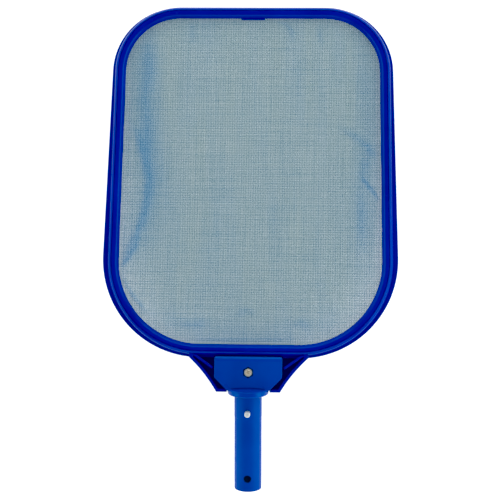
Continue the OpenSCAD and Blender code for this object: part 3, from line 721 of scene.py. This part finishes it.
# ------------------------------------------------------------------ handle moulding
def build_handle():
    plate_low = -DROP + FLOOR_T
    outline = fillet(
        [(-PLATE_HALF, -0.9), (-PLATE_HALF, -22.9), (-21.9, -36.2), (21.9, -36.2), (PLATE_HALF, -22.9), (PLATE_HALF, -0.9)],
        [2.2, 3.0, 0, 0, 3.0, 2.2], 6)
    bm = bmesh.new()
    lo = [bm.verts.new((x, y, plate_low)) for x, y in outline]
    hi = [bm.verts.new((x, y, PLATE_TOP)) for x, y in outline]
    n = len(outline)
    bm.faces.new(lo[::-1])
    top = bm.faces.new(hi)
    for i in range(n):
        bm.faces.new((lo[i], lo[(i + 1) % n], hi[(i + 1) % n], hi[i]))
    bmesh.ops.recalc_face_normals(bm, faces=bm.faces)
    bmesh.ops.bevel(bm, geom=list(top.edges), offset=0.9, segments=4, profile=0.5, affect="EDGES", clamp_overlap=True)
    for y in (-6.4, -5.8, -5.2, -4.6, -4.0, -3.4, -2.8):
        bmesh.ops.bisect_plane(bm, geom=bm.verts[:] + bm.edges[:] + bm.faces[:], plane_co=(0, y, 0), plane_no=(0, 1, 0))
    for v in bm.verts:
        if v.co.z > 5 and v.co.y > -6.4:
            v.co.z -= 1.5 * min(1.0, (v.co.y + 6.4) / 4.6) ** 2
    mesh = bpy.data.meshes.new("handle_moulding")
    bm.to_mesh(mesh)
    bm.free()
    mesh.transform(HEAD)
    obj = bpy.data.objects.new("handle_moulding", mesh)
    scene.collection.objects.link(obj)
    # hollow under the plate
    lower = plate_low - 1
    for s in (-1, 1):
        pocket = [(s * 32.6, -3.4), (s * 15.7, -3.4), (s * 15.7, -29.5), (s * 20, -29.5), (s * 32.6, -21.7)]
        if s > 0:
            pocket = pocket[::-1]
        boolean(obj, prism("pocket", pocket, lower, PLATE_TOP - 3, matrix=HEAD), "DIFFERENCE")
    middle = prism("middle", [(-13.3, -29.5), (13.3, -29.5), (13.3, -3.4), (-13.3, -3.4)], lower, PLATE_TOP - 3, matrix=HEAD)
    boolean(middle, lathe("keep", [(0, lower - 2), (8.6, lower - 2), (8.6, PLATE_TOP), (0, PLATE_TOP)], 64, HEAD @ Matrix.Translation((0, -SCREW_AT, 0))), "DIFFERENCE")
    boolean(obj, middle, "DIFFERENCE")
    boolean(obj, lathe("boss_room", [(0, lower), (8.9, lower), (8.9, 1.65), (0, 1.65)], 64, HEAD @ Matrix.Translation((0, -SCREW_AT, 0))), "DIFFERENCE")
    # shallow crescent where the plate meets the collar
    arc = [(x, 0.55 + 1.25 * (1 - (x / 17.0) ** 2)) for x in [17.0 - 34.0 * k / 24 for k in range(25)]]
    crescent = [(-17.0, -0.3), (17.0, -0.3)] + arc
    boolean(obj, prism("crescent", crescent, 6.5, 12, matrix=HANDLE @ Matrix.Rotation(math.radians(-90), 4, "X")), "DIFFERENCE")
    # cut the plate off behind the collar, then collar and tube in one turned shape
    beyond = prism("beyond", [(-40, -20), (40, -20), (40, 40), (-40, 40)], COLLAR_T - 1.5, 30, matrix=HANDLE)
    boolean(obj, beyond, "DIFFERENCE")
    turned = fillet(
        [(0, 0), (COLLAR_R, 0), (COLLAR_R, COLLAR_T), (TUBE_R, COLLAR_T), (TUBE_R, 29.5), (SPIGOT_R, 31), (SPIGOT_R, TUBE_END), (TUBE_IN + 0.9, TUBE_END),
         (TUBE_IN, TUBE_END - 0.9), (TUBE_IN, 12), (0, 12)],
        [0, 1.3, 1.4, 1.0, 0.4, 0.4, 1.95, 0.2, 0.3, 1.2, 0], 6)
    boolean(obj, lathe("turned", turned, 96, HANDLE), "UNION")
    # screw's pocket and hole
    hexa = [(10.3 / math.sqrt(3) * math.cos(math.radians(60 * k + 30)), -SCREW_AT + 10.3 / math.sqrt(3) * math.sin(math.radians(60 * k + 30))) for k in range(6)]
    boolean(obj, prism("head_pocket", hexa, PLATE_TOP - 4.5, PLATE_TOP + 2, matrix=HEAD), "DIFFERENCE")
    boolean(obj, lathe("screw_hole", [(0, -6), (SCREW_R + 0.3, -6), (SCREW_R + 0.3, 14), (0, 14)], 48, HEAD @ Matrix.Translation((0, -SCREW_AT, 0))), "DIFFERENCE")
    # button holes and lock pin holes through both walls
    for s_at, r in ((BUTTON_AT, BUTTON_R + 0.15), (PIN_AT, PIN_R)):
        q = 0.35
        prof = [(0, -30), (r + 16 * q, -30), (r, -TUBE_R + 0.9), (r, TUBE_R - 0.9), (r + 16 * q, 30), (0, 30)]
        prof = [(0, -30), (r, -30), (r, 30), (0, 30)]
        boolean(obj, lathe("hole", prof, 48, HANDLE @ Matrix.Translation((0, 0, s_at)) @ Matrix.Rotation(math.radians(90), 4, "X")), "DIFFERENCE")
    tidy(obj)
    back_h, back_t = HEAD.inverted(), HANDLE.inverted()
    shine = []
    for v in obj.data.vertices:
        h, c = back_h @ v.co, back_t @ v.co
        on_plate = c.z < 2 and h.y > -36 and (h.z < PLATE_TOP - 0.03 or h.y > -6.3)
        shine.append(1.0 if on_plate else (0.85 if -0.1 <= c.z <= COLLAR_T + 0.1 and math.hypot(c.x, c.y) > TUBE_R + 2 else 0.0))
    att = obj.data.attributes.new("polish", "FLOAT", "POINT")
    att.data.foreach_set("value", np.array(shine, np.float32))
    # painted shade: the inner wall of the tube's bore is marked to be coloured near black, as shade deep in the tube
    painted_shade = []
    for v in obj.data.vertices:
        c = back_t @ v.co
        painted_shade.append(1.0 if c.z > 11.5 and math.hypot(c.x, c.y) < TUBE_IN + 0.35 else 0.0)
    att = obj.data.attributes.new("bore", "FLOAT", "POINT")
    att.data.foreach_set("value", np.array(painted_shade, np.float32))
    return give(obj, handle_blue, nodes=["handle_hub", "handle_tube"])


# ------------------------------------------------------------------ screw, nut and snap clip
def build_screw():
    at = HEAD @ Matrix.Translation((0, -SCREW_AT, PLATE_TOP - 4.5))
    prof = fillet([(0, -12), (1.7, -12), (SCREW_R, -11.2), (SCREW_R, 0), (HEAD_R, 0), (HEAD_R, 2.2), (4.2, 2.75), (3.3, 2.95), (1.8, 3.2), (0, 3.2)], [0, 0.2, 0.3, 0.1, 0.25, 0.5, 0.6, 0.8, 0.3, 0], 4)
    obj = lathe("pan_screw", prof, 64, at)
    for a in (0, 90):
        slot = [(-2.7, -0.6), (2.7, -0.6), (2.7, 0.6), (-2.7, 0.6)]
        boolean(obj, prism("slot", slot, 1.5, 4.6, matrix=at @ Matrix.Rotation(math.radians(a + 22), 4, "Z")), "DIFFERENCE")
    boolean(obj, lathe("cone", [(0, 0.7), (0.7, 0.7), (2.2, 4.3), (0, 4.3)], 32, at), "DIFFERENCE")
    tidy(obj)
    return give(obj, steel_warm, nodes=["hub_screw"])


def build_nut():
    at = HEAD @ Matrix.Translation((0, -SCREW_AT, -DROP + 0.05))
    h, af = DROP - 0.65, 9.5
    hexa = [(af / math.sqrt(3) * math.cos(math.radians(60 * k)), af / math.sqrt(3) * math.sin(math.radians(60 * k))) for k in range(6)]
    obj = prism("hex_nut", hexa, 0, h, matrix=at)
    # corners chamfered by the crossing cone
    keep = lathe("cone", [(0, 0), (4.85, 0), (5.5, 0.42), (5.5, h - 0.42), (4.85, h), (0, h)], 64, at)
    boolean(obj, keep, "INTERSECT")
    boolean(obj, lathe("hole", [(0, -1), (SCREW_R + 0.45, -1), (SCREW_R + 0.05, 0.4), (SCREW_R + 0.05, h - 0.4), (SCREW_R + 0.45, h + 1), (0, h + 1)], 48, at), "DIFFERENCE")
    tidy(obj)
    return give(obj, steel_warm, nodes=["hub_nut"])


def strip_section():
    """Rounded rectangle across the strip: x along its width, y through its thickness."""
    return fillet([(-STRIP_W / 2, -STRIP_T / 2), (STRIP_W / 2, -STRIP_T / 2), (STRIP_W / 2, STRIP_T / 2), (-STRIP_W / 2, STRIP_T / 2)], 0.3, 3)


def build_clip():
    sec = strip_section()
    rings = []
    for k in range(25):
        a = -math.pi / 2 + math.pi * k / 24
        # centre of the strip on the half circle, from the rear leg round to the front one
        cy, cz = ROOT_R * math.sin(a), BEND_AT + ROOT_R * math.cos(a)
        rings.append([(x, cy + t * math.sin(a), cz + t * math.cos(a)) for x, t in sec])
    bend = loops_mesh("spring_bend", rings, False, True, HANDLE)
    tidy(bend)
    give(bend, steel_spring, nodes=["clip_spring_bend"])
    length = BEND_AT - LEG_TIP
    for s, which in ((1, "front"), (-1, "rear")):
        rings = []
        for k in range(33):
            z = BEND_AT - length * k / 32
            y = s * (ROOT_R + (BEND_AT - z) * SLOPE)
            # the free end is rounded off in plan
            w = 1.0
            if z < LEG_TIP + 3.0:
                d = (LEG_TIP + 3.0 - z) / 3.0
                w = 1 - 0.45 * (1 - math.sqrt(max(0.0, 1 - d * d * 0.96)))
            rings.append([(x * w, y + t * s, z) for x, t in sec])
        leg = loops_mesh("spring_leg_" + which, rings, False, True, HANDLE)
        hole = lathe("hole", [(0, 0), (1.5, 0), (1.5, 14), (0, 14)], 32, HANDLE @ Matrix.Translation((0, 0, BUTTON_AT)) @ Matrix.Rotation(math.radians(-90 * s), 4, "X"))
        boolean(leg, hole, "DIFFERENCE")
        tidy(leg)
        leg.data.materials.clear()
        leg.data.materials.append(steel_spring)
        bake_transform(leg)
        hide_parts("clip_%s_leg" % which)
        base = ROOT_R + (BEND_AT - BUTTON_AT + 3.6) * SLOPE + STRIP_T / 2 * math.sqrt(1 + SLOPE * SLOPE) + 0.04
        under = ROOT_R + (BEND_AT - BUTTON_AT) * SLOPE - STRIP_T / 2 - 0.28
        tip_r = TUBE_R + 6.6
        prof = fillet(
            [(0, under - 0.5), (2.1, under - 0.5), (2.1, under), (1.3, under), (1.3, base), (3.6, base), (3.6, base + 0.5), (BUTTON_R, base + 0.5), (BUTTON_R, tip_r - 0.55), (1.7, tip_r - 0.02), (0, tip_r)],
            [0, 0.2, 0.2, 0, 0, 0.15, 0.15, 0.1, 1.2, 1.2, 0], 6)
        button = lathe("snap_button_" + which, prof, 64, HANDLE @ Matrix.Translation((0, 0, BUTTON_AT)) @ Matrix.Rotation(math.radians(-90 * s), 4, "X"))
        tidy(button)
        give(button, steel_button, body=which + "_button", nodes=["clip_%s_button" % which])


build_frame()
build_ring()
build_net()
cord = build_hem_cord()
give(cord, cord_mat, nodes=["hem_cord"])
build_handle()
build_screw()
build_nut()
build_clip()

# ------------------------------------------------------------------ floor, light and camera
floor_mat, ft, fp = nodes_of("pale_floor")
grain = node(ft, "ShaderNodeTexNoise", Scale=60.0, Detail=3.0)
gcoord = node(ft, "ShaderNodeTexCoord")
ft.links.new(gcoord.outputs["Object"], grain.inputs["Vector"])
gramp = node(ft, "ShaderNodeValToRGB")
gramp.color_ramp.elements[0].color, gramp.color_ramp.elements[1].color = (0.90, 0.90, 0.90, 1), (0.93, 0.93, 0.93, 1)
ft.links.new(grain.outputs["Fac"], gramp.inputs["Fac"])
ft.links.new(gramp.outputs["Color"], fp.inputs["Base Color"])
fp.inputs["Roughness"].default_value = 0.9
fp.inputs["Specular IOR Level"].default_value = 0.1
fp.inputs["Emission Color"].default_value = (1, 1, 1, 1)
fp.inputs["Emission Strength"].default_value = 0.46
fmesh = bpy.data.meshes.new("floor")
S = 3.0
fmesh.from_pydata([(-S, -S, 0), (S, -S, 0), (S, S, 0), (-S, S, 0)], [], [(0, 1, 2, 3)])
fmesh.materials.append(floor_mat)
floor = bpy.data.objects.new("floor", fmesh)
scene.collection.objects.link(floor)

world = bpy.data.worlds.new("studio")
scene.world = world
world.use_nodes = True
bg = world.node_tree.nodes["Background"]
bg.inputs["Color"].default_value = (0.95, 0.97, 1.0, 1)
bg.inputs["Strength"].default_value = 0.38


def panel(name, at, size, power, colour=(1, 1, 1)):
    light = bpy.data.lights.new(name, "AREA")
    light.shape, light.size, light.size_y, light.energy, light.color = "RECTANGLE", size[0], size[1], power, colour
    obj = bpy.data.objects.new(name, light)
    scene.collection.objects.link(obj)
    obj.location = at
    obj.rotation_euler = (Vector((0, 0, 0.02)) - Vector(at)).to_track_quat("-Z", "Y").to_euler()
    return obj


panel("left", (-1.6, 0.1, 0.70), (2.4, 0.9), 21)
panel("right", (1.6, 0.0, 0.70), (2.4, 0.9), 25)
panel("far", (0.0, 1.7, 0.70), (2.4, 0.9), 21)
panel("near", (0.1, -1.7, 0.70), (2.4, 0.9), 18)

scene.view_settings.view_transform = "Standard"
scene.view_settings.look = "None"
scene.view_settings.exposure = 0.0
scene.view_settings.gamma = 1.0
scene.view_settings.use_curve_mapping = True
scene.view_settings.curve_mapping.black_level = (0.030, 0.008, 0.0)
scene.view_settings.curve_mapping.update()

cam_data = bpy.data.cameras.new("camera")
cam_data.lens, cam_data.sensor_width, cam_data.sensor_fit = 96.79, 36.0, "HORIZONTAL"
cam_data.clip_start, cam_data.clip_end = 0.05, 20.0
cam = bpy.data.objects.new("camera", cam_data)
scene.collection.objects.link(cam)
cam.location = (0.06035, -0.03655, 1.4295)
cam.rotation_euler = (0.02388, 0.04266, 0.01071)
scene.camera = cam
